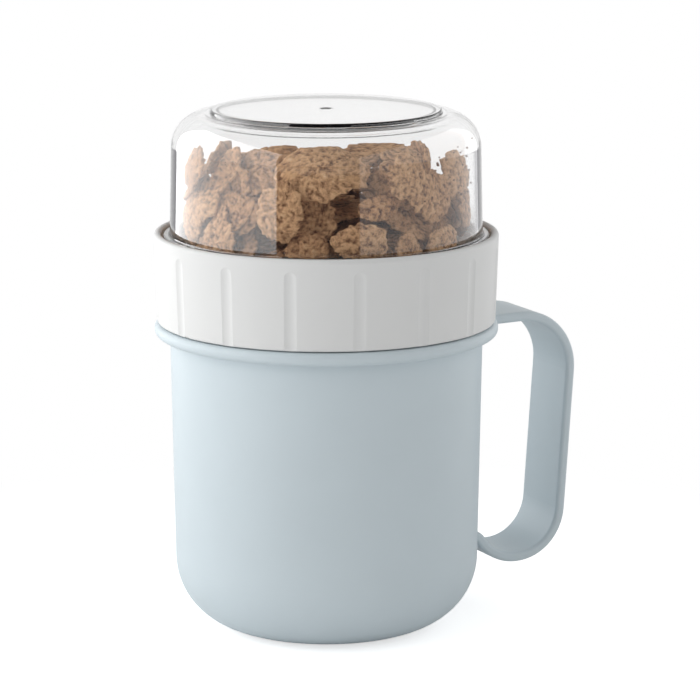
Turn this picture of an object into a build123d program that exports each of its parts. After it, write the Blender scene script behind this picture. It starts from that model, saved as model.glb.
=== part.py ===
from build123d import *
import math
import os
import random

import numpy as np

# Screw cup for cereal: a handled mug below, a clear cup upside down above, and a
# double-sided screw collar between them. Millimetres, +Z up, origin at the centre
# of the mug's base. The front of the cup looks along -Y.

# Mug body, with the cup's greatest radius at the bead
bead_radius = 49.8
bead_height = 3.75
mug_height = 90.05
mug_wall = 2.0
mug_floor = 2.2
mug_draft = 1.45
mug_base_rounding = 20.5

# Mug neck and the flat seal on its rim
neck_inset = 0.55
neck_wall = 2.0
neck_height = 10.95
bore_shoulder = 1.0
bore_shoulder_below_bead = 2.0
mug_seal_thickness = 1.5
mug_seal_width = 3.6
mug_seal_lip = 0.4
seal_edge_rounding = 0.2

# Screw threads: short ridges, several starts, right-handed
thread_starts = 6
thread_lead = 24.0
ridge_turn = 45.0
ridge_depth = 1.0
ridge_root_width = 2.4
ridge_crest_width = 1.4
ridge_sink = 0.4
thread_play = 0.4
mug_ridge_lift = 0.3
dome_ridge_lift = 0.1

# Collar
seam_gap = 0.3
collar_height = 26.0
collar_inset = 0.8
collar_flare = 0.85
collar_wall = 2.8
collar_rim_wall = 2.25
partition_thickness = 1.8
rim_recess_depth = 3.65
groove_count = 16
groove_width = 3.8
groove_depth = 0.35
groove_top_gap = 3.5
groove_overrun = 2.0

# Clear cup, standing on its mouth, and its seal
dome_wall = 1.9
dome_height_over_collar = 35.4
dome_mouth_gap = 0.5
dome_flange_thickness = 1.8
dome_flange_play = 0.4
dome_seal_thickness = 1.2
dome_seal_play = 0.3
dome_neck_inset = 0.4
dome_draft = 0.85
dome_shoulder_rounding = 9.8
foot_inset = 11.15
foot_step = 1.05
foot_taper = 0.1
gate_radius = 1.9
gate_depth = 0.3
gate_taper = 0.2

# Handle, a flat strap in the upright plane at handle_angle from +X towards +Y
handle_angle = 26.7
strap_width = 21.15
strap_thickness = 2.9
strap_edge_rounding = 1.1
handle_span_at_top = 29.1
handle_span_at_bottom = 24.0
handle_top_drop = 0.8
handle_top_rise = 0.6
handle_top_sink = 0.1
handle_bottom = 12.85
handle_top_rounding = 17.9
handle_bottom_flat = 0.5
handle_root_slope = 55.0
handle_root_rounding = 3.0
handle_root_height = 22.6
handle_root_droop = 0.7
handle_root_reach = 2.8
handle_root_sink = 0.9

# Cereal flakes heaped on the partition
flake_thickness = 1.3
flake_smallest = 7.5
flake_largest = 11.5
flake_narrowest = 0.74
flake_raggedness = 0.14
flake_shapes = 10
flake_corners = 10
flake_dish_radius = 24.0
flake_limit = 130
flake_gap = 0.25
heap_headspace = 5.3
heap_seed = 11
heap_tries = 20
heap_misses = 6
heap_spacing = 0.85
heap_cell = 0.3
heap_rim = 0.6
push_limit = 9.0
settle_limit = 4.0

# Flakes at the front of the clear cup, the outermost first. Each has its turn from the
# front towards +X, the height of its middle over the partition, half its width, half its
# height, its roll, how far it leans back, the turn of its face off the wall's, and how far
# it stands off the wall at least; it is pushed in from there until it is clear of the rest.
front_flakes = (
    (-18, 24.0, 7.5, 9.5, -6, 6, 0, 0.6),
    (-46, 15.5, 7.5, 7.0, -10, 4, 0, 0.6),
    (-68, 20.5, 8.0, 9.5, 8, 4, 0, 0.6),
    (14, 15.2, 9.5, 6.5, -6, 6, 0, 0.6),
    (54, 15.2, 8.0, 6.5, 14, 4, 0, 0.6),
    (35, 15.0, 5.0, 7.0, 12, 8, 0, 0.6),
    (52, 28.5, 8.0, 8.0, 20, 8, 0, 0.8),
    (74, 26.0, 7.0, 8.0, 0, 6, 0, 0.6),
    (-2, 35.5, 14.0, 11.0, 4, 48, 0, 8.5),
    (-37, 34.0, 13.0, 8.5, 24, 34, 12, 5.0),
    (34, 33.5, 6.0, 8.0, -14, 12, -8, 1.0),
    (-66, 34.5, 7.0, 7.0, -15, 14, 0, 1.0),
    (-39, 22.5, 7.5, 7.0, 30, 12, 0, 2.0),
    (-8, 13.4, 7.0, 5.5, 8, 20, 0, 1.0),
    (20, 34.5, 7.5, 7.0, 30, 24, 0, 4.0),
    (22, 26.0, 6.5, 4.0, -4, 10, 0, 2.0),
    (58, 38.0, 4.0, 5.6, 4, 6, 30, 4.2),
    (63, 37.8, 11.0, 8.0, 20, 78, 0, 19.0),
    (-5, 39.4, 12.0, 8.0, 60, 84, 0, 24.0),
)

# Heights that follow from the sizes above
bead_underside = mug_height - bead_height
rim_height = mug_height + neck_height
collar_bottom = mug_height + seam_gap
collar_top = collar_bottom + collar_height
partition_bottom = rim_height + mug_seal_thickness
partition_top = partition_bottom + partition_thickness
ledge_height = collar_top - rim_recess_depth
dome_mouth = partition_top + dome_mouth_gap
flange_bottom = ledge_height + dome_seal_thickness
flange_top = flange_bottom + dome_flange_thickness
dome_top = collar_top + dome_height_over_collar
shoulder_top = dome_top - foot_step
ceiling_height = shoulder_top - dome_wall

# Radii that follow, from the bead inwards
collar_radius_at_bottom = bead_radius - collar_inset
collar_radius_at_top = collar_radius_at_bottom + collar_flare
socket_radius = collar_radius_at_bottom - collar_wall
recess_radius = collar_radius_at_top - collar_rim_wall
neck_radius = socket_radius - thread_play - ridge_depth
mug_bore = neck_radius - neck_wall
mug_radius_at_bead = neck_radius + neck_inset
mug_radius_at_base = mug_radius_at_bead - mug_draft
dome_bore = neck_radius - dome_wall
dome_flange_radius = recess_radius - dome_flange_play
dome_radius_at_flange = neck_radius + dome_neck_inset
dome_radius_at_shoulder = dome_radius_at_flange - dome_draft
foot_radius = dome_radius_at_shoulder - foot_inset
thread_pitch = thread_lead / thread_starts
ridge_rise = thread_lead * ridge_turn / 360


def turned(*corners):
    """Solid of revolution about Z, from corners of (radius, height, rounding)."""
    points = [(radius, height) for radius, height, _ in corners]
    roundings = [rounding for _, _, rounding in corners]
    outline = FilletPolyline(*points, radius=roundings, close=True)
    return revolve(Plane.XZ * make_face(outline), Axis.Z)


def ring(inner_radius, outer_radius, bottom, thickness, rounding):
    """Flat ring with rounded edges."""
    return turned(
        (inner_radius, bottom, rounding),
        (outer_radius, bottom, rounding),
        (outer_radius, bottom + thickness, rounding),
        (inner_radius, bottom + thickness, rounding),
    )


def ridges(root_radius, outward, first_height):
    """Thread ridges on a cylinder; outward is 1 on a neck and -1 in a socket."""
    sunk = root_radius - outward * ridge_sink
    crest = root_radius + outward * ridge_depth
    taper = (ridge_root_width - ridge_crest_width) / 2
    sunk_half = ridge_root_width / 2 + taper * ridge_sink / ridge_depth
    crest_half = ridge_crest_width / 2
    section = Plane.XZ * make_face(
        Polyline(
            (sunk, -sunk_half),
            (crest, -crest_half),
            (crest, crest_half),
            (sunk, sunk_half),
            close=True,
        )
    )
    path = Helix(pitch=thread_lead, height=ridge_rise, radius=root_radius)
    ridge = Pos(0, 0, first_height) * sweep(section, path=path, is_frenet=True)
    return [Rot(0, 0, 360 * start / thread_starts) * ridge for start in range(thread_starts)]


# Thread ridges, each collar ridge half a pitch from the ridge that it grips
mug_ridge_height = collar_bottom + (neck_height - ridge_rise) / 2 + mug_ridge_lift
collar_low_ridge_height = mug_ridge_height - thread_pitch / 2
dome_ridge_height = dome_mouth + ridge_root_width / 2 + dome_ridge_lift
collar_high_ridge_height = dome_ridge_height + thread_pitch / 2


def make_handle():
    """Strap handle, drawn in the XZ plane and turned to its place."""
    half = strap_thickness / 2
    top = mug_height - handle_top_drop - half
    bottom = handle_bottom + half
    start_radius = mug_radius_at_bead - mug_wall + handle_top_sink
    end_radius = mug_radius_at_base - mug_wall + handle_root_sink
    top_corner = bead_radius + handle_span_at_top - half
    low_corner = bead_radius + handle_span_at_bottom - half
    slope = math.radians(handle_root_slope)
    slope_top = handle_root_height - handle_root_droop
    slope_end = end_radius + handle_root_reach
    slope_start = slope_end + (slope_top - bottom) / math.tan(slope)
    side_tilt = math.atan2(top_corner - low_corner, top - bottom)
    corner_turn = math.tan((math.pi / 2 - side_tilt) / 2) + math.tan(slope / 2)
    bend = (low_corner - slope_start - handle_bottom_flat) / corner_turn
    path = FilletPolyline(
        (start_radius, top - handle_top_rise),
        (top_corner, top),
        (low_corner, bottom),
        (slope_start, bottom),
        (slope_end, slope_top),
        (end_radius, handle_root_height),
        radius=[handle_top_rounding - half, bend, bend, handle_root_rounding],
    )
    path = Plane.XZ * path
    section = Plane(path @ 0, x_dir=(0, 1, 0), z_dir=path % 0) * RectangleRounded(
        strap_width, strap_thickness, strap_edge_rounding
    )
    strap = sweep(section, path=path)
    return Rot(0, 0, handle_angle) * strap


def make_mug():
    """Body, bead, neck, thread ridges and handle, in one moulding."""
    bore_low = mug_radius_at_base - mug_wall
    bore_high = mug_radius_at_bead - mug_wall
    body = turned(
        (0, 0, 0),
        (mug_radius_at_base, 0, mug_base_rounding),
        (mug_radius_at_bead, bead_underside, 1.0),
        (bead_radius, bead_underside, 1.75),
        (bead_radius, mug_height, 1.6),
        (neck_radius, mug_height, 0.4),
        (neck_radius, rim_height, 0.6),
        (mug_bore, rim_height, 0.6),
        (mug_bore, mug_height + bore_shoulder, 2.0),
        (bore_high, bead_underside - bore_shoulder_below_bead, 2.0),
        (bore_low, mug_floor, mug_base_rounding - mug_wall),
        (0, mug_floor, 0),
    )
    return body + ridges(neck_radius, 1, mug_ridge_height) + make_handle()


def make_grooves():
    """Cutters for the shallow upright grip grooves, rounded off at their tops."""
    cutter_radius = groove_width**2 / (8 * groove_depth) + groove_depth / 2
    lean = math.atan2(collar_radius_at_top - collar_radius_at_bottom, collar_height)
    length = collar_height - groove_top_gap - groove_width / 2
    offset = cutter_radius - groove_depth
    round_end = Pos(0, 0, length) * Sphere(cutter_radius)
    below = Pos(0, 0, -groove_overrun) * Cylinder(
        cutter_radius, length + groove_overrun, align=(Align.CENTER, Align.CENTER, Align.MIN)
    )
    cutter = (
        Pos(collar_radius_at_bottom, 0, collar_bottom)
        * Rot(0, math.degrees(lean), 0)
        * Pos(offset, 0, 0)
        * (below + round_end)
    )
    step = 360 / groove_count
    first = step / 2 - 90
    return [Rot(0, 0, first + step * place) * cutter for place in range(groove_count)]


def make_collar():
    """Screw collar with a socket on each side of a closed partition."""
    body = turned(
        (0, partition_bottom, 0),
        (socket_radius, partition_bottom, 0),
        (socket_radius, collar_bottom, 0.5),
        (collar_radius_at_bottom, collar_bottom, 0.7),
        (collar_radius_at_top, collar_top, 1.1),
        (recess_radius, collar_top, 1.0),
        (recess_radius, ledge_height, 0.2),
        (socket_radius, ledge_height, 0.2),
        (socket_radius, partition_top, 0.8),
        (0, partition_top, 0),
    )
    body -= make_grooves()
    low = ridges(socket_radius, -1, collar_low_ridge_height)
    high = ridges(socket_radius, -1, collar_high_ridge_height)
    return body + low + high


def make_dome():
    """Clear cup turned upside down: mouth in the collar, foot disc on top."""
    inner_shoulder = dome_radius_at_shoulder - dome_wall
    foot_bore = foot_radius - dome_wall
    body = turned(
        (dome_bore, dome_mouth, 0.5),
        (neck_radius, dome_mouth, 0.5),
        (neck_radius, flange_bottom, 0),
        (dome_flange_radius, flange_bottom, 0.3),
        (dome_flange_radius, flange_top, 0.6),
        (dome_radius_at_flange, flange_top, 0.6),
        (dome_radius_at_shoulder, shoulder_top, dome_shoulder_rounding),
        (foot_radius + foot_taper, shoulder_top, 0.2),
        (foot_radius, dome_top, 0.4),
        (gate_radius, dome_top, 0.1),
        (gate_radius - gate_taper, dome_top - gate_depth, 0),
        (0, dome_top - gate_depth, 0),
        (0, ceiling_height + foot_step, 0),
        (foot_bore, ceiling_height + foot_step, 0.5),
        (foot_bore, ceiling_height, 0.3),
        (inner_shoulder, ceiling_height, dome_shoulder_rounding - dome_wall),
        (dome_radius_at_flange - dome_wall, flange_top, 3.0),
    )
    return body + ridges(neck_radius, 1, dome_ridge_height)


def flake_outline(chance, half_width, half_height):
    """Corners of one uneven flake about the origin."""
    corners = []
    for place in range(flake_corners):
        angle = 2 * math.pi * (place + chance.uniform(-0.25, 0.25)) / flake_corners
        reach = chance.uniform(1 - flake_raggedness, 1)
        corners.append(
            (half_width * reach * math.cos(angle), half_height * reach * math.sin(angle))
        )
    return corners


def flake_solid(corners):
    """Thin dished plate, centred on the middle of its thickness."""
    outer = flake_dish_radius + flake_thickness / 2
    inner = flake_dish_radius - flake_thickness / 2
    prism = extrude(make_face(Polyline(*corners, close=True)), amount=2 * flake_dish_radius)
    return Pos(0, 0, -flake_dish_radius) * ((prism & Sphere(outer)) - Sphere(inner))


def flake_points(corners):
    """Points over both faces of a flake, out to its edge."""
    flat = []
    widest = max(math.hypot(*corner) for corner in corners)
    rings = math.ceil(widest / heap_spacing)
    for level in range(rings + 1):
        share = level / rings
        for index, (x, y) in enumerate(corners):
            next_x, next_y = corners[(index + 1) % len(corners)]
            side = math.hypot(next_x - x, next_y - y)
            steps = max(1, math.ceil(share * side / heap_spacing))
            for step in range(steps):
                along = step / steps
                flat.append((share * (x + (next_x - x) * along), share * (y + (next_y - y) * along)))
    flat = np.array(flat)
    from_middle = (flat**2).sum(axis=1)
    faces = []
    for offset in (-flake_thickness / 2, flake_thickness / 2):
        heights = np.sqrt((flake_dish_radius + offset) ** 2 - from_middle) - flake_dish_radius
        faces.append(np.column_stack((flat, heights)))
    return np.vstack(faces)


def random_turn(chance, around, out):
    """Turn of a flake: steep and facing out near the wall, flatter inside."""
    tilt = chance.uniform(4, 50)
    facing = chance.uniform(0, 360)
    if out > dome_bore * heap_rim:
        tilt = chance.uniform(48, 84)
        facing = around + chance.uniform(-30, 30)
    turn = Rot(0, 0, facing) * Rot(0, tilt, 0) * Rot(chance.choice((0, 180)), 0, 0)
    return turn * Rot(0, 0, chance.uniform(0, 360))


def front_place(turn, height, roll, lean, face_turn, stand_off):
    """Place of a flake at the front wall, its hollow side inwards."""
    radius = dome_radius_at_shoulder - dome_wall - flake_thickness / 2 - flake_gap - stand_off
    out = Rot(0, 0, turn) * Pos(0, -radius, partition_top + height)
    return out * Rot(0, 0, face_turn) * Rot(90 - lean, 0, 0) * Rot(0, 0, roll)


def placed_points(cloud, place):
    """A cloud of points brought to a place."""
    origin = np.array(tuple(place.position))
    ends = [(place * Pos(*axis)).position for axis in ((1, 0, 0), (0, 1, 0), (0, 0, 1))]
    return cloud @ (np.array([tuple(end) for end in ends]) - origin) + origin


class Heap:
    """Flakes in the clear cup, with a grid of cells that count how many flakes are near."""

    def __init__(self):
        half_width = math.ceil(dome_radius_at_flange / heap_cell)
        levels = math.ceil((ceiling_height + foot_step - partition_top) / heap_cell)
        self.corner = np.array([-half_width * heap_cell, -half_width * heap_cell, partition_top])
        shape = (2 * half_width + 1, 2 * half_width + 1, levels + 1)
        x, y, z = (
            np.arange(count) * heap_cell + start for count, start in zip(shape, self.corner)
        )
        clear = flake_gap + heap_cell / 2
        rounding = dome_shoulder_rounding - dome_wall
        over = np.clip(z - (ceiling_height - rounding), 0, rounding)
        room = dome_radius_at_shoulder - dome_wall - rounding + np.sqrt(rounding**2 - over**2)
        radii = np.hypot(x[:, None], y[None, :])
        self.near = (radii[:, :, None] > room[None, None, :] - clear).astype(np.int8)
        self.near[:, :, z < partition_top + clear] = 1
        self.top = ceiling_height + foot_step - heap_headspace
        reach = math.hypot(flake_gap, heap_spacing * 0.72) + heap_cell * 0.2
        steps = np.arange(-math.ceil(reach / heap_cell), math.ceil(reach / heap_cell) + 1)
        ball = np.stack(np.meshgrid(steps, steps, steps), axis=-1).reshape(-1, 3)
        self.ball = ball[np.linalg.norm(ball, axis=1) * heap_cell <= reach]

    def cells(self, spots):
        return np.rint((spots - self.corner) / heap_cell).astype(int)

    def count(self, spots, step):
        """Counts a flake in or, with a step of -1, out of the cells near it."""
        near = (self.cells(spots)[:, None] + self.ball).reshape(-1, 3)
        near = near[((near >= 0) & (near < self.near.shape)).all(axis=1)]
        once = np.unique(np.ravel_multi_index(near.T, self.near.shape))
        self.near.reshape(-1)[once] += step

    def free_levels(self, spots, lifts):
        """For each lift in cells, whether the flake is clear of everything there."""
        i, j, k = self.cells(spots).T
        high = self.near.shape[2] - 1
        levels = k[:, None] + lifts[None, :]
        taken = self.near[i[:, None], j[:, None], np.clip(levels, 0, high)] > 0
        return ~(taken | (levels < 0) | (levels > high)).any(axis=0)


def best_drop(chance, heap, clouds):
    """The lowest-lying of several random flakes: kind, place and points, or None."""
    best = None
    levels = heap.near.shape[2]
    room = dome_bore - flake_gap
    for _ in range(heap_tries):
        kind = chance.randrange(len(clouds))
        around = chance.uniform(0, 360)
        out = room * math.sqrt(chance.random())
        turn = random_turn(chance, around, out)
        outward = np.array([math.cos(math.radians(around)), math.sin(math.radians(around)), 0])
        spots = placed_points(clouds[kind], turn)
        far = np.hypot(*(spots + outward * out)[:, :2].T).max()
        x, y, _ = outward * (out - max(0.0, far - room + heap_cell))
        place = Pos(x, y, partition_top)
        spots = placed_points(clouds[kind], place * turn)
        free = heap.free_levels(spots, np.arange(levels))
        if not free.any():
            continue
        lift = np.argmax(free) * heap_cell
        top = spots[:, 2].max() + lift
        if top <= heap.top and (best is None or top < best[0]):
            best = (top, kind, Pos(0, 0, lift) * place * turn, spots + (0, 0, lift))
    return best and best[1:]


def front_drops(chance, heap):
    """Front flakes, pushed in until each is clear: corners, place and points."""
    found = []
    no_lift = np.zeros(1, dtype=int)
    for turn, height, half_width, half_height, roll, lean, face_turn, stand_off in front_flakes:
        corners = flake_outline(chance, half_width, half_height)
        cloud = flake_points(corners)
        for push in np.arange(0, push_limit, heap_cell):
            place = front_place(turn, height, roll, lean, face_turn, stand_off + push)
            spots = placed_points(cloud, place)
            if heap.free_levels(spots, no_lift).all():
                heap.count(spots, 1)
                found.append((corners, place, spots))
                break
    return found


def make_cereal():
    """Front flakes at their places, the others let down one by one around and on them."""
    chance = random.Random(heap_seed)
    heap = Heap()
    front = front_drops(chance, heap)
    outlines = []
    for _ in range(flake_shapes):
        size = chance.uniform(flake_smallest, flake_largest)
        outlines.append(flake_outline(chance, size, size * chance.uniform(flake_narrowest, 1)))
    clouds = [flake_points(corners) for corners in outlines]
    solids = [flake_solid(corners) for corners in outlines]
    flakes = []
    misses = 0
    while len(flakes) < flake_limit and misses < heap_misses:
        found = best_drop(chance, heap, clouds)
        if found is None:
            misses += 1
            continue
        kind, place, spots = found
        heap.count(spots, 1)
        flakes.append(place * solids[kind])
    drops = np.arange(math.ceil(settle_limit / heap_cell) + 1)
    for corners, place, spots in front:
        heap.count(spots, -1)
        free = heap.free_levels(spots, -drops)
        drop = (np.argmin(np.append(free, False)) - 1) * heap_cell
        heap.count(spots - (0, 0, drop), 1)
        flakes.append(Pos(0, 0, -drop) * place * flake_solid(corners))
    return Compound(children=flakes)


def main():
    os.makedirs("parts", exist_ok=True)
    mug_seal_bore = mug_bore - mug_seal_lip
    pieces = {
        "mug": make_mug(),
        "mug_seal": ring(
            mug_seal_bore,
            mug_seal_bore + mug_seal_width,
            rim_height,
            mug_seal_thickness,
            seal_edge_rounding,
        ),
        "collar": make_collar(),
        "dome_seal": ring(
            neck_radius + dome_seal_play,
            dome_flange_radius,
            ledge_height,
            dome_seal_thickness,
            seal_edge_rounding,
        ),
        "dome": make_dome(),
        "cereal_flakes": make_cereal(),
    }
    for name, piece in pieces.items():
        export_step(piece, f"parts/{name}.step")


main()
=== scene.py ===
"""Looks of a screw cup for cereal: satin mug, white collar, clear cup and bran flakes."""

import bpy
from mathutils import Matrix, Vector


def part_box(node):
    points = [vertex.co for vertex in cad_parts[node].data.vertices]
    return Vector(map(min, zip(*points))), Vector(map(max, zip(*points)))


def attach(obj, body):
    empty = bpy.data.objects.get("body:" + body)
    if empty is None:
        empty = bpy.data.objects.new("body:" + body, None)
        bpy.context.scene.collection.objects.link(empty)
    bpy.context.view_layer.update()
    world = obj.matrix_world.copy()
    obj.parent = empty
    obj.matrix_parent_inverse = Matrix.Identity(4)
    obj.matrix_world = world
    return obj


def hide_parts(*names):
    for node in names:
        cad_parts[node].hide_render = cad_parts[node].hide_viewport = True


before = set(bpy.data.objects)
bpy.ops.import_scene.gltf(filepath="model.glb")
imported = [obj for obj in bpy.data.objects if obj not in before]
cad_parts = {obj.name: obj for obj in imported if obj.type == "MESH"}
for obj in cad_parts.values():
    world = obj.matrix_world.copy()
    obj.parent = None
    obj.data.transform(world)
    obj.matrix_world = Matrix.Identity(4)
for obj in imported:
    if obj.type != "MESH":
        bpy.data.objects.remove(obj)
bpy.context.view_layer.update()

import copy
import math
import random

import bmesh
import bpy
import numpy as np
from bpy.props import FloatProperty, FloatVectorProperty, IntProperty, PointerProperty
from mathutils import Matrix, Vector, noise
from mathutils.geometry import convex_hull_2d, intersect_line_line_2d

bl_info = {
    "name": "Cereal cup looks",
    "version": (1, 0, 0),
    "blender": (4, 5, 0),
    "location": "View3D > Sidebar > Cereal cup",
    "description": "Finishes, cereal flakes and studio for a screw cup with a clear upper cup",
    "category": "Object",
}

MM = 0.001
DOME_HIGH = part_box("dome")[1]
WHITE = (1.0, 1.0, 1.0, 1.0)

# Grain and cloudiness of moulded plastic, and how much its gloss varies
CLOUD_SIZE = 18 * MM
HANDLED_SIZE = 7 * MM
GRAIN_SIZE = 0.22 * MM
GLOSS_SPREAD = 0.08

# Points of the CAD heap closer than this are one point
SAME_POINT = 0.001 * MM
# Steps in which the centre of a flake's dish is found
FIT_STEPS = 12
# Rings and sectors in the mesh of one flake, in front and behind
FINE_GRID = (17, 68)
COARSE_GRID = (10, 40)

# A flake before its edge frays, as a share of its outline in the CAD
OVERSIZE = 1.05
# How often bites, nicks and teeth come round the edge, and how deep they go
BITE_RATE = 2.2
NICK_RATE = 5.5
TOOTH_RATE = 13
BITE_DEPTH = 1.5
NICK_SHARE = 0.6
TOOTH_DEPTH = 0.45
# Range in which each flake takes its own part of the noise
NOISE_SPAN = 50
# How much thinner a flake is at its edge, and how suddenly
EDGE_THINNING = 0.5
EDGE_POWER = 8
# Above 1, few flakes are darkly toasted
TOAST_POWER = 1.6

# Relief of a flake: share of the rounded grains in it, size of the crags beside them, and
# the range of noise that is stretched from hollow to raised
GRAIN_SHARE = 0.6
CRAG_SCALE = 0.45
RELIEF_RANGE = (0.3, 0.7)

# Turns from the front, in degrees towards +X, of gaps that the CAD heap leaves near the wall
GAP_TURNS = (-56, 70, -50, -78, 44, -62, 84, -45, -88, 60, -70, -54)
# Flakes that may be carried to them: least way behind the axis, height and way from the axis
CARRIED_BEHIND = 5 * MM
CARRIED_HEIGHT = 122 * MM
CARRIED_OUT = 27 * MM

# Crumbs: least, greatest and likeliest turn from the front in degrees towards +X, and depth
# under the clear cup's top in millimetres
CRUMB_TURNS = (18, 80, 58)
CRUMB_DEPTHS = (6, 26, 11)
# Way in from the clear cup's flange to the inside of its wall
CRUMB_INSET = 5.3 * MM
# Smallest crumb as a share of the largest, and the noise at which a crumb's surface stays put
SMALLEST_CRUMB = 0.25
CRUMB_CRAGS = 0.6
# Up to a full turn about each axis, in radians
ANY_TURN = (6.28, 6.28, 6.28)

# Table: corners, colour, glow, and the distances from the cup's axis, in metres, between
# which it fades to white
TABLE_SECTORS = 96
TABLE_COLOUR = (0.9, 0.9, 0.9, 1.0)
TABLE_GLOW = 0.6
FADE_START = 0.09
FADE_END = 0.2

# Room in reflections: dark on the camera's side, white behind the cup, with the parts of a
# ray's direction along +Y between which it changes
ROOM_DARK = (0.12, 0.12, 0.13, 1.0)
ROOM_FRONT = -0.2
ROOM_BACK = 0.9
# Room through one clear wall: dark where rays are bent sideways, which draws the cup's edges.
# The part of a ray's direction along +Z there, its spread, and a depth just over one wall's
EDGE_TINT = (0.045, 0.04, 0.06, 1.0)
EDGE_FALL = -0.2
EDGE_SPREAD = 0.1
ONE_WALL_DEPTH = 2.5

# Lamps, in metres: way to the side, from front to back, and from low to high. Those that only
# the clear cup shows hang a little behind the others
LEFT_SIDE = -0.60
RIGHT_SIDE = 0.62
SHINE_BEHIND = 0.01
LEFT_REACH = (-0.86, 0.80)
RIGHT_REACH = (-1.39, 1.00)
LAMP_HEIGHTS = (-0.35, 0.80)
# Width of the camera's sensor in millimetres
SENSOR_WIDTH = 36


def length(label, description, millimetres):
    """A property that holds a length, with its default given in millimetres."""
    return FloatProperty(
        name=label,
        description=description,
        default=millimetres * MM,
        unit="LENGTH",
        precision=5,
    )


def colour(label, description, red, green, blue):
    """A property that holds a surface colour."""
    return FloatVectorProperty(
        name=label,
        description=description,
        default=(red, green, blue),
        subtype="COLOR",
        min=0,
        max=1,
    )


def share(label, description, default):
    """A property that holds a share from 0 to 1."""
    return FloatProperty(
        name=label, description=description, default=default, min=0, max=1, subtype="FACTOR"
    )


class CupFinishes(bpy.types.PropertyGroup):
    """Colours and gloss of the moulded pieces."""

    mug_colour: colour("Mug colour", "Pale blue-grey of the mug", 0.60, 0.68, 0.72)
    mug_roughness: share("Mug roughness", "Satin of the mug", 0.42)
    mug_sheen: share("Mug sheen", "Strength of the mug's reflections", 0.38)
    mug_grain: length("Mug grain", "Depth of the moulded grain", 0.012)
    collar_colour: colour("Collar colour", "White of the collar", 0.745, 0.75, 0.745)
    collar_roughness: share("Collar roughness", "Half gloss of the collar", 0.45)
    collar_sheen: share("Collar sheen", "Strength of the collar's reflections", 0.15)
    collar_grain: length("Collar grain", "Depth of the moulded grain", 0.006)
    seal_colour: colour("Seal colour", "Milky silicone", 0.74, 0.75, 0.75)
    clear_index: FloatProperty(
        name="Clear plastic index", description="Index of refraction", default=1.5
    )
    clear_density: FloatProperty(
        name="Clear plastic density", description="Absorption for each metre", default=18.0
    )


class CerealSettings(bpy.types.PropertyGroup):
    """Sizes and colours of the flakes, whose places and outlines come from the CAD heap."""

    dish: length("Dish radius", "Radius that every flake is dished to", 24.0)
    thickness: length("Flake thickness", "Thickness in the middle of a flake", 1.2)
    front_flakes: IntProperty(name="Front flakes", description="Flakes of fine mesh", default=42)
    fray: share("Fray", "How far the edge frays inwards, as a share of the flake", 0.17)
    wrinkle_size: length("Wrinkle size", "Distance between wrinkles", 8.0)
    wrinkle_height: length("Wrinkle height", "Height of the wrinkles", 2.4)
    grain_size: length("Grain size", "Size of a bran grain", 1.7)
    grain_height: length("Grain height", "Height of a bran grain", 0.75)
    # Pale raised bran and brown hollows: partly the bran's own colours, partly painted light and
    # shade
    pale: colour("Pale flake", "Raised bran", 0.86, 0.60, 0.36)
    tan: colour("Tan flake", "Most of a flake", 0.70, 0.41, 0.215)
    brown: colour("Brown flake", "Hollows of a flake", 0.19, 0.085, 0.04)
    crumbs: IntProperty(name="Crumbs", description="Crumbs on the clear wall", default=42)
    crumb_size: length("Crumb size", "Half the width of the largest crumb", 0.42)
    seed: IntProperty(name="Seed", description="Seed of the edges and crumbs", default=5)


class StudioSettings(bpy.types.PropertyGroup):
    """Camera, table and lamps."""

    camera_height: length("Camera height", "Camera over the table", 282.73)
    camera_back: length("Camera distance", "Camera in front of the cup's axis", 984.55)
    camera_side: length("Camera side", "Camera to the right of the cup's axis", 6.84)
    camera_pitch: FloatProperty(
        name="Camera pitch",
        description="How far the camera looks down",
        default=math.radians(11.577),
        subtype="ANGLE",
        unit="ROTATION",
    )
    focal_length: FloatProperty(
        name="Focal length", description="On a 36 mm sensor", default=177.78, unit="CAMERA"
    )
    table_radius: length("Table radius", "Round table under the cup", 420)
    left_power: FloatProperty(name="Left lamp", description="Left soft box", default=11.0)
    right_power: FloatProperty(name="Right lamp", description="Right soft box", default=5.4)
    left_shine: FloatProperty(name="Left shine", description="Left reflection", default=15.0)
    right_shine: FloatProperty(name="Right shine", description="Right reflection", default=7.0)
    ambient: FloatProperty(name="Ambient", description="Light from all round", default=0.34)


class Value:
    """A shader socket that takes part in arithmetic with numbers and other sockets."""

    def __init__(self, paint, socket):
        self.paint = paint
        self.socket = socket

    def _with(self, operation, first, second):
        """Adds the Math node of an operation."""
        return self.paint.node("ShaderNodeMath", {"operation": operation}, {0: first, 1: second})

    def __add__(self, other):
        return self._with("ADD", self, other)

    __radd__ = __add__

    def __sub__(self, other):
        return self._with("SUBTRACT", self, other)

    def __rsub__(self, other):
        return self._with("SUBTRACT", other, self)

    def __mul__(self, other):
        return self._with("MULTIPLY", self, other)

    __rmul__ = __mul__

    def __gt__(self, other):
        return self._with("GREATER_THAN", self, other)


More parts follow.
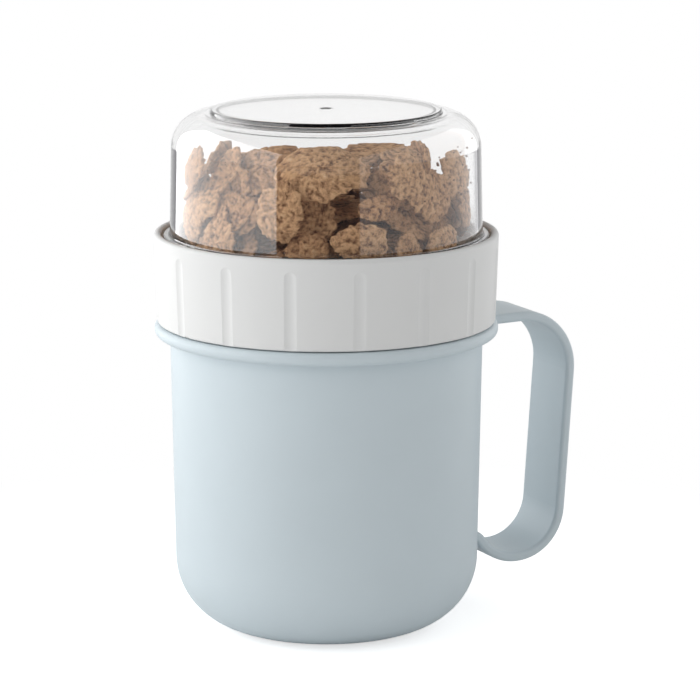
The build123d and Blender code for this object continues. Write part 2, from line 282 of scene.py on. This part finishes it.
class Paint:
    """Builds one node tree, of a material or of the world."""

    def __init__(self, owner):
        owner.use_nodes = True
        self.tree = owner.node_tree
        self.tree.nodes.clear()

    def node(self, kind, settings=None, inputs=None, output=0):
        """Adds a node and returns its output as a Value."""
        made = self.tree.nodes.new(kind)
        for name, value in (settings or {}).items():
            if name == "stops":
                self._set_stops(made.color_ramp, value)
            else:
                setattr(made, name, value)
        for name, value in (inputs or {}).items():
            if isinstance(value, Value):
                self.tree.links.new(value.socket, made.inputs[name])
            else:
                made.inputs[name].default_value = value
        return Value(self, made.outputs[output]) if len(made.outputs) else made

    def _set_stops(self, ramp, stops):
        """Gives a colour ramp its stops, as positions with colours."""
        while len(ramp.elements) < len(stops):
            ramp.elements.new(1.0)
        for element, (position, value) in zip(ramp.elements, stops):
            element.position = position
            element.color = (*value, 1.0)

    def coordinates(self, kind="Object"):
        """Place of the point on its object, or the direction of the ray in a world."""
        return self.node("ShaderNodeTexCoord", output=kind)

    def ray(self, kind):
        """What Light Path tells of the ray, such as Is Camera Ray."""
        return self.node("ShaderNodeLightPath", output=kind)

    def noise(self, size, detail=2.0, roughness=0.5):
        """Noise whose grains are about size metres across."""
        return self.node(
            "ShaderNodeTexNoise",
            inputs={
                "Vector": self.coordinates(),
                "Scale": 1 / size,
                "Detail": detail,
                "Roughness": roughness,
            },
        )

    def attribute(self, name):
        """Value that the mesh holds under a name."""
        return self.node("ShaderNodeAttribute", {"attribute_name": name}, output="Fac")

    def mix(self, factor, first, second):
        """Colour between first and second."""
        return self.node(
            "ShaderNodeMix", {"data_type": "RGBA"}, {0: factor, 6: first, 7: second}, output=2
        )

    def bump(self, height, distance, strength=1.0):
        """Normal of a surface with relief of a height."""
        return self.node(
            "ShaderNodeBump", inputs={"Height": height, "Distance": distance, "Strength": strength}
        )

    def output(self, surface, volume=None, kind="ShaderNodeOutputMaterial"):
        """Ends the tree."""
        inputs = {"Surface": surface}
        if volume:
            inputs["Volume"] = volume
        self.node(kind, inputs=inputs)


def rgba(values, factor=1.0):
    """Colour with alpha, made lighter or darker by a factor."""
    return (*(min(1.0, value * factor) for value in values), 1.0)


def moulded_plastic(name, base, roughness, sheen, grain_depth):
    """Moulded plastic: a faint cloudiness in its colour, uneven satin and a fine grain."""
    material = bpy.data.materials.new(name)
    paint = Paint(material)
    cloud = paint.noise(CLOUD_SIZE, detail=3)
    fine = paint.noise(GRAIN_SIZE, detail=1)
    handled = paint.noise(HANDLED_SIZE, detail=4, roughness=0.6)
    surface = paint.node(
        "ShaderNodeBsdfPrincipled",
        inputs={
            "Base Color": paint.mix(cloud, rgba(base, 0.975), rgba(base, 1.02)),
            "Roughness": roughness - GLOSS_SPREAD / 2 + handled * GLOSS_SPREAD,
            "Specular IOR Level": sheen,
            "Normal": paint.bump(fine, grain_depth, 0.6),
        },
    )
    paint.output(surface)
    return material


def silicone(name, base):
    """Milky silicone with a soft, slightly dusty surface."""
    material = bpy.data.materials.new(name)
    paint = Paint(material)
    dust = paint.noise(1.5 * MM, detail=4, roughness=0.7)
    surface = paint.node(
        "ShaderNodeBsdfPrincipled",
        inputs={
            "Base Color": paint.mix(dust, rgba(base, 0.94), rgba(base, 1.03)),
            "Roughness": 0.46 + dust * 0.16,
            "IOR": 1.41,
            "Subsurface Weight": 0.3,
            "Subsurface Scale": 1.5 * MM,
            "Normal": paint.bump(dust, 0.02 * MM),
        },
    )
    paint.output(surface)
    return material


def clear_plastic(name, index, density):
    """Clear hard plastic that darkens with the length of the way through it."""
    material = bpy.data.materials.new(name)
    paint = Paint(material)
    wipes = paint.noise(9 * MM, detail=5, roughness=0.65)
    glass = paint.node(
        "ShaderNodeBsdfPrincipled",
        inputs={
            "Base Color": WHITE,
            "Roughness": wipes * 0.03,
            "IOR": index,
            "Transmission Weight": 1.0,
        },
    )
    open_way = paint.node("ShaderNodeBsdfTransparent", inputs={"Color": WHITE})
    # The light on the cereal comes straight through the wall
    passes = paint.ray("Is Shadow Ray") + paint.ray("Is Diffuse Ray")
    surface = paint.node("ShaderNodeMixShader", inputs={0: passes, 1: glass, 2: open_way})
    absorbs = paint.node(
        "ShaderNodeVolumeAbsorption", inputs={"Color": (0.0, 0.0, 0.0, 1.0), "Density": density}
    )
    paint.output(surface, absorbs)
    return material


def bran(name, cereal):
    """Toasted bran: paler where it stands high and browner in its hollows, partly its own tone and
    partly painted light and shade, and flakes of different toast.
    """
    material = bpy.data.materials.new(name)
    paint = Paint(material)
    grains = paint.noise(1.1 * MM, detail=4, roughness=0.7)
    specks = paint.noise(0.35 * MM, detail=3, roughness=0.75)
    raised = paint.attribute("raised")
    toast = paint.attribute("toast")
    # Relief, grains and specks each lighten the bran where it stands higher, and the last number
    # centres their sum: painted shade in the hollows and painted light on the raised grains, over
    # the bran's own tone
    relief_shade_and_tone = raised * 0.5 + grains * 0.5 + specks * 0.55 - 0.28
    base = paint.node(
        "ShaderNodeValToRGB",
        {
            # Darkest brown deep in the hollows, pale on the raised grains: partly painted shade
            # and light
            "stops": [
                (0.0, tuple(value * 0.55 for value in cereal.brown)),
                (0.3, tuple(cereal.brown)),
                (0.55, tuple(cereal.tan)),
                (0.85, tuple(cereal.pale)),
            ]
        },
        {0: relief_shade_and_tone},
    )
    toasted = paint.node(
        "ShaderNodeMix",
        {"data_type": "RGBA", "blend_type": "MULTIPLY"},
        {0: toast * 0.6, 6: base, 7: (0.66, 0.55, 0.47, 1.0)},
        output=2,
    )
    surface = paint.node(
        "ShaderNodeBsdfPrincipled",
        inputs={
            "Base Color": toasted,
            "Roughness": 0.62 + specks * 0.3,
            "IOR": 1.4,
            "Normal": paint.bump(grains * 0.8 + specks * 0.5, 0.6 * MM),
        },
    )
    paint.output(surface)
    return material


def link(name, mesh):
    """Adds a mesh to the scene as an object."""
    made = bpy.data.objects.new(name, mesh)
    bpy.context.scene.collection.objects.link(made)
    return made


def dress(node, material):
    """Gives a CAD node its material."""
    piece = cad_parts[node]
    piece.data.materials.clear()
    piece.data.materials.append(material)


class Tree:
    """Builds one Geometry Nodes tree with named inputs."""

    def __init__(self, name, inputs):
        self.group = bpy.data.node_groups.new(name, "GeometryNodeTree")
        self._add_socket("Geometry", "INPUT", "NodeSocketGeometry")
        for label, kind in inputs.items():
            self._add_socket(label, "INPUT", kind)
        self._add_socket("Geometry", "OUTPUT", "NodeSocketGeometry")
        self.source = self.group.nodes.new("NodeGroupInput")
        self.end = self.group.nodes.new("NodeGroupOutput")

    def _add_socket(self, label, side, kind):
        """Adds a named input or output to the tree."""
        self.group.interface.new_socket(label, in_out=side, socket_type=kind)

    def node(self, kind, settings=None, inputs=None):
        """Adds a node, with values and links for its inputs, and returns it."""
        made = self.group.nodes.new(kind)
        for name, value in (settings or {}).items():
            setattr(made, name, value)
        for name, value in (inputs or {}).items():
            if isinstance(value, bpy.types.NodeSocket):
                self.group.links.new(value, made.inputs[name])
            else:
                made.inputs[name].default_value = value
        return made

    def attribute(self, name, kind):
        """Value of a named attribute."""
        found = self.node("GeometryNodeInputNamedAttribute", {"data_type": kind}, {"Name": name})
        return found.outputs[0]

    def position(self):
        """Place of each point."""
        return self.node("GeometryNodeInputPosition").outputs[0]

    def math(self, operation, first, second):
        """Result of an operation on two numbers."""
        made = self.node("ShaderNodeMath", {"operation": operation}, {0: first, 1: second})
        return made.outputs[0]

    def vector(self, operation, first, second):
        """Result of an operation on two vectors."""
        made = self.node("ShaderNodeVectorMath", {"operation": operation}, {0: first, 1: second})
        return made.outputs[0]

    def scaled(self, vector, factor):
        """A vector times a number."""
        made = self.node(
            "ShaderNodeVectorMath", {"operation": "SCALE"}, {0: vector, "Scale": factor}
        )
        return made.outputs[0]

    def noise(self, place, size, detail, scale=1.0):
        """Noise from 0 to 1 with grains of a size, made finer by a scale under 1."""
        rate = self.math("DIVIDE", 1 / scale, size)
        made = self.node(
            "ShaderNodeTexNoise", inputs={"Vector": place, "Scale": rate, "Detail": detail}
        )
        return made.outputs[0]

    def given(self, label):
        """Output socket of a named input."""
        return self.source.outputs[label]

    def finish(self, geometry, material):
        """Realizes the instances, sets the material and ends the tree."""
        real = self.node("GeometryNodeRealizeInstances", inputs={"Geometry": geometry})
        painted = self.node(
            "GeometryNodeSetMaterial", inputs={"Geometry": real.outputs[0], "Material": material}
        )
        self.group.links.new(painted.outputs[0], self.end.inputs[0])


def grown(source, tree, values, name):
    """Runs a tree on an object and returns the result as a plain object."""
    modifier = source.modifiers.new("Nodes", "NODES")
    modifier.node_group = tree.group
    for item in tree.group.interface.items_tree:
        if item.in_out == "INPUT" and item.name in values:
            modifier[item.identifier] = values[item.name]
    source.update_tag()
    graph = bpy.context.evaluated_depsgraph_get()
    mesh = bpy.data.meshes.new_from_object(source.evaluated_get(graph))
    source.modifiers.remove(modifier)
    bpy.data.objects.remove(source)
    if not mesh.polygons:
        raise RuntimeError(f"{name}: the tree made no faces")
    mesh.name = name
    return link(name, mesh)


def islands(node):
    """Points of each loose piece of a CAD node, as arrays."""
    merged = bmesh.new()
    merged.from_mesh(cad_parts[node].data)
    bmesh.ops.remove_doubles(merged, verts=merged.verts, dist=SAME_POINT)
    merged.verts.ensure_lookup_table()
    left = set(range(len(merged.verts)))
    found = []
    while left:
        queue = [left.pop()]
        for index in queue:
            for edge in merged.verts[index].link_edges:
                other = edge.other_vert(merged.verts[index]).index
                if other in left:
                    left.remove(other)
                    queue.append(other)
        found.append(np.array([merged.verts[index].co for index in queue]))
    merged.free()
    return found


def dish_centre(points, dish):
    """Centre of the sphere of a known radius that fits points best."""
    middle = points.mean(axis=0)
    normal = np.linalg.svd(points - middle)[2][2]
    found = []
    for side in (normal, -normal):
        centre = middle - side * dish
        for _ in range(FIT_STEPS):
            away = points - centre
            far = np.linalg.norm(away, axis=1)
            step = np.linalg.lstsq(away / far[:, None], far - dish, rcond=None)[0]
            centre = centre + step
        error = np.abs(np.linalg.norm(points - centre, axis=1) - dish).mean()
        found.append((error, tuple(centre)))
    return np.array(min(found)[1])


class Plate:
    """A dished flake of the CAD heap: its place, its turn and its outline."""

    def __init__(self, points, dish):
        self.dish = dish
        self.centre = dish_centre(points, dish)
        outward = Vector(points.mean(axis=0) - self.centre).normalized()
        self.turn = np.array(outward.to_track_quat("Z", "Y").to_matrix())
        flat = ((points - self.centre) @ self.turn)[:, :2]
        self.middle = (flat.min(axis=0) + flat.max(axis=0)) / 2
        corners = [tuple(spot) for spot in flat]
        self.corners = [Vector(corners[index]) for index in convex_hull_2d(corners)]
        self.place = points.mean(axis=0)

    def carried(self, degrees):
        """The same plate, carried round the cup's axis."""
        other = copy.copy(self)
        round_axis = np.array(Matrix.Rotation(math.radians(degrees), 3, "Z"))
        other.centre = round_axis @ self.centre
        other.turn = round_axis @ self.turn
        other.place = round_axis @ self.place
        return other

    def reach(self, angle):
        """Distance from the flake's middle to its edge at an angle."""
        middle = Vector(self.middle)
        far = middle + Vector((math.cos(angle), math.sin(angle))) * self.dish
        for near, after in zip(self.corners, self.corners[1:] + self.corners[:1]):
            hit = intersect_line_line_2d(middle, far, near, after)
            if hit:
                return (hit - middle).length
        raise RuntimeError("a flake's outline is open")

    def surface(self, x, y):
        """Points of the dish over its plane, with the dish's normal there."""
        rise = np.sqrt(self.dish**2 - x**2 - y**2)
        local = np.column_stack((x, y, rise))
        return local @ self.turn.T + self.centre, local @ self.turn.T / self.dish


def frayed_edge(plate, fray, chance, angles):
    """Distance from a flake's middle to its frayed edge at each angle."""
    offset = Vector([chance.uniform(-NOISE_SPAN, NOISE_SPAN) for _ in range(3)])
    edge = np.empty(len(angles))
    for sector, angle in enumerate(angles):
        way = Vector((math.cos(angle), math.sin(angle), 0))
        bite = abs(noise.noise(way * BITE_RATE + offset))
        nick = abs(noise.noise(way * NICK_RATE + offset))
        tooth = noise.noise(way * TOOTH_RATE + offset)
        loss = (bite + NICK_SHARE * nick) * BITE_DEPTH + TOOTH_DEPTH * tooth
        edge[sector] = plate.reach(angle) * (OVERSIZE - fray * loss)
    return edge


def flake_points(plate, fray, chance, rings, sectors):
    """Both sides of a flake in its middle surface: points, normals, sides and thinness."""
    angles = 2 * np.pi * np.arange(sectors) / sectors
    edge = frayed_edge(plate, fray, chance, angles)
    shares = np.append(0.0, np.repeat(np.arange(1, rings + 1) / rings, sectors))
    out = np.append(0.0, np.tile(edge, rings)) * shares
    turn = np.append(0.0, np.tile(angles, rings))
    middle, normals = plate.surface(
        plate.middle[0] + out * np.cos(turn), plate.middle[1] + out * np.sin(turn)
    )
    thin = 1 - EDGE_THINNING * shares**EDGE_POWER
    sides = np.repeat((1.0, -1.0), len(shares))
    return np.vstack((middle, middle)), np.vstack((normals, normals)), sides, np.tile(thin, 2)


def flake_faces(rings, sectors):
    """Faces of both sides of a flake and of the rim between them, as numbers of its points."""
    half = 1 + rings * sectors
    faces = []
    for start in (0, half):
        for sector in range(sectors):
            after = (sector + 1) % sectors
            side = [[start, start + 1 + sector, start + 1 + after]]
            for ring in range(rings - 1):
                near = start + 1 + ring * sectors
                far = near + sectors
                side.append([near + sector, far + sector, far + after, near + after])
            faces += side if start == 0 else [face[::-1] for face in side]
    rim = 1 + (rings - 1) * sectors
    for sector in range(sectors):
        after = (sector + 1) % sectors
        faces.append([rim + sector, half + rim + sector, half + rim + after, rim + after])
    return faces


def flakes_object(name, plates, fray, chance, rings, sectors):
    """All plates as one mesh without thickness, with what its tree needs as attributes."""
    points, normals, sides, thins, seeds, toasts, faces = [], [], [], [], [], [], []
    one_flake = flake_faces(rings, sectors)
    start = 0
    for plate in plates:
        spots, ways, side, thin = flake_points(plate, fray, chance, rings, sectors)
        faces += [[start + corner for corner in face] for face in one_flake]
        start += len(spots)
        points.append(spots)
        normals.append(ways)
        sides.append(side)
        thins.append(thin)
        seed = [chance.uniform(-1, 1) for _ in range(3)]
        seeds.append(np.tile(seed, (len(spots), 1)))
        toasts.append(np.full(len(spots), chance.random() ** TOAST_POWER))
    mesh = bpy.data.meshes.new(name)
    mesh.from_pydata(np.vstack(points).tolist(), [], faces)
    mesh.polygons.foreach_set("use_smooth", [True] * len(mesh.polygons))
    for label, kind, field, values in (
        ("way", "FLOAT_VECTOR", "vector", np.vstack(normals)),
        ("seed", "FLOAT_VECTOR", "vector", np.vstack(seeds)),
        ("side", "FLOAT", "value", np.concatenate(sides)),
        ("thin", "FLOAT", "value", np.concatenate(thins)),
        ("toast", "FLOAT", "value", np.concatenate(toasts)),
    ):
        mesh.attributes.new(label, kind, "POINT").data.foreach_set(field, values.ravel())
    return link(name, mesh)


def bran_tree():
    """Tree that gives flat flakes their thickness, wrinkles and grains."""
    tree = Tree(
        "Bran flakes",
        {
            "Thickness": "NodeSocketFloat",
            "Wrinkle size": "NodeSocketFloat",
            "Wrinkle height": "NodeSocketFloat",
            "Grain size": "NodeSocketFloat",
            "Grain height": "NodeSocketFloat",
            "Material": "NodeSocketMaterial",
        },
    )
    side = tree.attribute("side", "FLOAT")
    own = tree.vector("ADD", tree.position(), tree.attribute("seed", "FLOAT_VECTOR"))
    wrinkles = tree.noise(own, tree.given("Wrinkle size"), detail=1.5)
    apart = tree.node("ShaderNodeCombineXYZ", inputs={"X": side, "Y": side}).outputs[0]
    grains = tree.noise(tree.vector("ADD", own, apart), tree.given("Grain size"), detail=2.5)
    crags = tree.noise(
        tree.vector("SUBTRACT", own, apart), tree.given("Grain size"), detail=0.0, scale=CRAG_SCALE
    )
    height = tree.math(
        "ADD",
        tree.math("MULTIPLY", grains, GRAIN_SHARE),
        tree.math("MULTIPLY", crags, 1 - GRAIN_SHARE),
    )
    raised = tree.node(
        "ShaderNodeMapRange",
        inputs={"Value": height, "From Min": RELIEF_RANGE[0], "From Max": RELIEF_RANGE[1]},
    ).outputs[0]
    grain = tree.math("MULTIPLY", tree.math("SUBTRACT", raised, 0.5), tree.given("Grain height"))
    thick = tree.math("ADD", grain, tree.math("MULTIPLY", tree.given("Thickness"), 0.5))
    thick = tree.math("MULTIPLY", thick, tree.attribute("thin", "FLOAT"))
    thick = tree.math("MULTIPLY", thick, side)
    bent = tree.math(
        "MULTIPLY", tree.math("SUBTRACT", wrinkles, 0.5), tree.given("Wrinkle height")
    )
    offset = tree.scaled(tree.attribute("way", "FLOAT_VECTOR"), tree.math("ADD", bent, thick))
    stored = tree.node(
        "GeometryNodeStoreNamedAttribute",
        {"data_type": "FLOAT", "domain": "POINT"},
        {"Geometry": tree.given("Geometry"), "Name": "raised", "Value": raised},
    )
    moved = tree.node(
        "GeometryNodeSetPosition", inputs={"Geometry": stored.outputs[0], "Offset": offset}
    )
    tree.finish(moved.outputs[0], tree.given("Material"))
    return tree


def wall_spots(cereal, chance):
    """Places of the crumbs that cling inside the clear cup, right of the front."""
    spots = []
    for _ in range(cereal.crumbs):
        bearing = math.radians(chance.triangular(*CRUMB_TURNS) - 90)
        height = DOME_HIGH.z - chance.triangular(*CRUMB_DEPTHS) * MM
        radius = DOME_HIGH.x - CRUMB_INSET
        spots.append((radius * math.cos(bearing), radius * math.sin(bearing), height))
    return spots


def points_object(name, spots):
    """Loose points at places."""
    mesh = bpy.data.meshes.new(name)
    mesh.from_pydata(spots, [], [])
    return link(name, mesh)


def crumb_tree():
    """Tree that puts a small uneven crumb at every point."""
    tree = Tree(
        "Crumbs",
        {"Size": "NodeSocketFloat", "Seed": "NodeSocketInt", "Material": "NodeSocketMaterial"},
    )
    ball = tree.node("GeometryNodeMeshIcoSphere", inputs={"Radius": 1.0, "Subdivisions": 2})
    crag = tree.noise(tree.position(), 1.0, detail=1.0)
    offset = tree.scaled(tree.position(), tree.math("SUBTRACT", crag, CRUMB_CRAGS))
    lump = tree.node(
        "GeometryNodeSetPosition", inputs={"Geometry": ball.outputs[0], "Offset": offset}
    )
    turn = tree.node(
        "FunctionNodeRandomValue",
        {"data_type": "FLOAT_VECTOR"},
        {0: (0, 0, 0), 1: ANY_TURN, "Seed": tree.given("Seed")},
    )
    share_of_size = tree.node(
        "FunctionNodeRandomValue",
        {"data_type": "FLOAT"},
        {2: SMALLEST_CRUMB, 3: 1.0, "Seed": tree.given("Seed")},
    )
    placed = tree.node(
        "GeometryNodeInstanceOnPoints",
        inputs={
            "Points": tree.given("Geometry"),
            "Instance": lump.outputs[0],
            "Rotation": turn.outputs[0],
            "Scale": tree.math("MULTIPLY", share_of_size.outputs[1], tree.given("Size")),
        },
    )
    tree.finish(placed.outputs[0], tree.given("Material"))
    return tree


class CUP_OT_mug(bpy.types.Operator):
    """Gives the mug its satin blue-grey plastic"""

    bl_idname = "cup.mug"
    bl_label = "Mug"

    def execute(self, context):
        finishes = context.scene.cup_finishes
        plastic = moulded_plastic(
            "mug_plastic",
            finishes.mug_colour,
            finishes.mug_roughness,
            finishes.mug_sheen,
            finishes.mug_grain,
        )
        dress("mug", plastic)
        return {"FINISHED"}


class CUP_OT_collar(bpy.types.Operator):
    """Gives the screw collar its half-gloss white plastic"""

    bl_idname = "cup.collar"
    bl_label = "Collar"

    def execute(self, context):
        finishes = context.scene.cup_finishes
        plastic = moulded_plastic(
            "collar_plastic",
            finishes.collar_colour,
            finishes.collar_roughness,
            finishes.collar_sheen,
            finishes.collar_grain,
        )
        dress("collar", plastic)
        return {"FINISHED"}


class CUP_OT_seals(bpy.types.Operator):
    """Gives both seals their milky silicone"""

    bl_idname = "cup.seals"
    bl_label = "Seals"

    def execute(self, context):
        rubber = silicone("seal_silicone", context.scene.cup_finishes.seal_colour)
        dress("mug_seal", rubber)
        dress("dome_seal", rubber)
        return {"FINISHED"}


class CUP_OT_clear_cup(bpy.types.Operator):
    """Gives the upper cup its clear plastic"""

    bl_idname = "cup.clear_cup"
    bl_label = "Clear cup"

    def execute(self, context):
        finishes = context.scene.cup_finishes
        plastic = clear_plastic("clear_plastic", finishes.clear_index, finishes.clear_density)
        dress("dome", plastic)
        return {"FINISHED"}


class CUP_OT_cereal(bpy.types.Operator):
    """Turns the CAD heap's plain plates into wrinkled bran flakes"""

    bl_idname = "cup.cereal"
    bl_label = "Cereal flakes"

    def execute(self, context):
        cereal = context.scene.cup_cereal
        chance = random.Random(cereal.seed)
        plates = [Plate(points, cereal.dish) for points in islands("cereal_flakes")]
        plates += self.carried_forward(plates)
        # Those nearest the front come first
        plates.sort(key=lambda plate: plate.place[1])
        tree = bran_tree()
        values = {
            "Thickness": cereal.thickness,
            "Wrinkle size": cereal.wrinkle_size,
            "Wrinkle height": cereal.wrinkle_height,
            "Grain size": cereal.grain_size,
            "Grain height": cereal.grain_height,
            "Material": bran("bran", cereal),
        }
        for name, part, grid in (
            ("flakes_front", plates[: cereal.front_flakes], FINE_GRID),
            ("flakes_back", plates[cereal.front_flakes :], COARSE_GRID),
        ):
            source = flakes_object(name + "_plates", part, cereal.fray, chance, *grid)
            piece = grown(source, tree, values, name)
            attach(piece, "collar")
            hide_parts("cereal_flakes")
        return {"FINISHED"}

    def carried_forward(self, plates):
        """Copies of flakes at the back wall, carried round to gaps beside the front."""
        high = [
            plate
            for plate in plates
            if plate.place[1] > CARRIED_BEHIND
            and plate.place[2] > CARRIED_HEIGHT
            and math.hypot(*plate.place[:2]) > CARRIED_OUT
        ]
        high.sort(key=lambda plate: -plate.place[2])
        copies = []
        for plate, turn in zip(high, GAP_TURNS):
            bearing = math.degrees(math.atan2(plate.place[1], plate.place[0]))
            copies.append(plate.carried(turn - 90 - bearing))
        return copies


class CUP_OT_crumbs(bpy.types.Operator):
    """Clings a few crumbs to the inside of the clear cup"""

    bl_idname = "cup.crumbs"
    bl_label = "Crumbs"

    def execute(self, context):
        cereal = context.scene.cup_cereal
        chance = random.Random(cereal.seed)
        source = points_object("crumb_points", wall_spots(cereal, chance))
        values = {
            "Size": cereal.crumb_size,
            "Seed": cereal.seed,
            "Material": bpy.data.materials["bran"],
        }
        piece = grown(source, crumb_tree(), values, "crumbs")
        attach(piece, "dome")
        return {"FINISHED"}


class CUP_OT_studio(bpy.types.Operator):
    """Sets up the white table, the room, the lamps and the camera"""

    bl_idname = "cup.studio"
    bl_label = "Studio"

    def execute(self, context):
        studio = context.scene.cup_studio
        self.make_table(studio)
        self.make_world(context, studio)
        self.make_lamp("left_box", LEFT_SIDE, LEFT_REACH, studio.left_power)
        self.make_lamp("right_box", RIGHT_SIDE, RIGHT_REACH, studio.right_power)
        # Reflections for the clear cup alone
        shiny = bpy.data.collections.new("shiny")
        shiny.objects.link(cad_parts["dome"])
        for name, side, reach, power in (
            ("left_shine", LEFT_SIDE - SHINE_BEHIND, LEFT_REACH, studio.left_shine),
            ("right_shine", RIGHT_SIDE + SHINE_BEHIND, RIGHT_REACH, studio.right_shine),
        ):
            lamp = self.make_lamp(name, side, reach, power)
            lamp.visible_diffuse = False
            lamp.light_linking.receiver_collection = shiny
        camera = bpy.data.objects.new("camera", bpy.data.cameras.new("camera"))
        context.scene.collection.objects.link(camera)
        camera.data.sensor_width = SENSOR_WIDTH
        camera.data.lens = studio.focal_length
        camera.location = (studio.camera_side, -studio.camera_back, studio.camera_height)
        camera.rotation_euler = (math.pi / 2 - studio.camera_pitch, 0, 0)
        context.scene.camera = camera
        context.scene.view_settings.view_transform = "Standard"
        return {"FINISHED"}

    def make_table(self, studio):
        """Round table that fades to white round the cup and keeps its shadow."""
        mesh = bpy.data.meshes.new("table")
        turns = [2 * math.pi * step / TABLE_SECTORS for step in range(TABLE_SECTORS)]
        rim = [
            (studio.table_radius * math.cos(turn), studio.table_radius * math.sin(turn), 0)
            for turn in turns
        ]
        mesh.from_pydata(rim, [], [list(range(TABLE_SECTORS))])
        table = link("table", mesh)
        material = bpy.data.materials.new("white_table")
        paint = Paint(material)
        out = paint.node(
            "ShaderNodeVectorMath", {"operation": "LENGTH"}, {0: paint.coordinates()}, output=1
        )
        far = paint.node(
            "ShaderNodeMapRange",
            {"interpolation_type": "SMOOTHSTEP"},
            {"Value": out, "From Min": FADE_START, "From Max": FADE_END},
        )
        diffuse = paint.node("ShaderNodeBsdfDiffuse", inputs={"Color": TABLE_COLOUR})
        glow = paint.node("ShaderNodeEmission", inputs={"Color": WHITE, "Strength": TABLE_GLOW})
        near = paint.node("ShaderNodeAddShader", inputs={0: diffuse, 1: glow})
        bright = paint.node("ShaderNodeEmission", inputs={"Color": WHITE, "Strength": 1.0})
        shown = paint.node("ShaderNodeMixShader", inputs={0: far, 1: near, 2: bright})
        seen = paint.ray("Is Camera Ray") + paint.ray("Is Transmission Ray")
        paint.output(paint.node("ShaderNodeMixShader", inputs={0: seen, 1: diffuse, 2: shown}))
        mesh.materials.append(material)

    def make_world(self, context, studio):
        """White room that lights the cup dimly and gives its clear walls dark edges."""
        world = bpy.data.worlds.new("white_room")
        context.scene.world = world
        paint = Paint(world)
        ray = paint.coordinates("Generated")
        backwards = paint.node("ShaderNodeSeparateXYZ", inputs={0: ray}, output="Y")
        rise = paint.node("ShaderNodeSeparateXYZ", inputs={0: ray}, output="Z")
        behind = paint.node(
            "ShaderNodeMapRange",
            inputs={"Value": backwards, "From Min": ROOM_FRONT, "From Max": ROOM_BACK},
        )
        dim = rgba((studio.ambient,) * 3)
        reflected = paint.mix(behind, ROOM_DARK, WHITE)
        light = paint.mix(paint.ray("Is Glossy Ray"), dim, reflected)
        sideways = paint.node(
            "ShaderNodeMath", {"operation": "COMPARE"}, {0: rise, 1: EDGE_FALL, 2: EDGE_SPREAD}
        )
        one_wall = 1 - (paint.ray("Transmission Depth") > ONE_WALL_DEPTH)
        bent = paint.mix(one_wall * sideways, WHITE, EDGE_TINT)
        through = paint.ray("Is Transmission Ray")
        seen = paint.mix(through, WHITE, bent)
        shown = paint.mix(paint.ray("Is Camera Ray") + through, light, seen)
        background = paint.node("ShaderNodeBackground", inputs={"Color": shown, "Strength": 1.0})
        paint.output(background, kind="ShaderNodeOutputWorld")

    def make_lamp(self, name, side, reach, power):
        """Upright soft box on one side, facing the cup, with a reach from front to back."""
        lamp = bpy.data.lights.new(name, "AREA")
        lamp.shape = "RECTANGLE"
        lamp.size = reach[1] - reach[0]
        lamp.size_y = LAMP_HEIGHTS[1] - LAMP_HEIGHTS[0]
        lamp.energy = power
        made = bpy.data.objects.new(name, lamp)
        bpy.context.scene.collection.objects.link(made)
        made.location = (side, sum(reach) / 2, sum(LAMP_HEIGHTS) / 2)
        made.rotation_euler = (math.pi / 2, 0, math.pi / 2 if side > 0 else -math.pi / 2)
        made.visible_transmission = False
        return made


class CUP_PT_panel(bpy.types.Panel):
    """Lists the steps that dress the cup"""

    bl_idname = "CUP_PT_panel"
    bl_label = "Cereal cup"
    bl_space_type = "VIEW_3D"
    bl_region_type = "UI"
    bl_category = "Cereal cup"

    def draw(self, context):
        for group_name in GROUPS:
            group = getattr(context.scene, group_name)
            box = self.layout.box()
            for name in group.bl_rna.properties.keys():
                if name not in {"name", "rna_type"}:
                    box.prop(group, name)
        for step in STEPS:
            self.layout.operator(step.bl_idname)


STEPS = (
    CUP_OT_studio,
    CUP_OT_mug,
    CUP_OT_collar,
    CUP_OT_seals,
    CUP_OT_clear_cup,
    CUP_OT_cereal,
    CUP_OT_crumbs,
)
GROUPS = {"cup_finishes": CupFinishes, "cup_cereal": CerealSettings, "cup_studio": StudioSettings}


def register():
    """Adds the cup's settings, steps and panel."""
    for kind in (*GROUPS.values(), *STEPS, CUP_PT_panel):
        bpy.utils.register_class(kind)
    for name, kind in GROUPS.items():
        setattr(bpy.types.Scene, name, PointerProperty(type=kind))


def unregister():
    """Takes them away again."""
    for name in GROUPS:
        delattr(bpy.types.Scene, name)
    for kind in reversed((*GROUPS.values(), *STEPS, CUP_PT_panel)):
        bpy.utils.unregister_class(kind)


def main():
    register()
    bpy.ops.cup.studio()
    bpy.ops.cup.mug()
    bpy.ops.cup.collar()
    bpy.ops.cup.seals()
    bpy.ops.cup.clear_cup()
    bpy.ops.cup.cereal()
    bpy.ops.cup.crumbs()


if __name__ == "__main__":
    main()
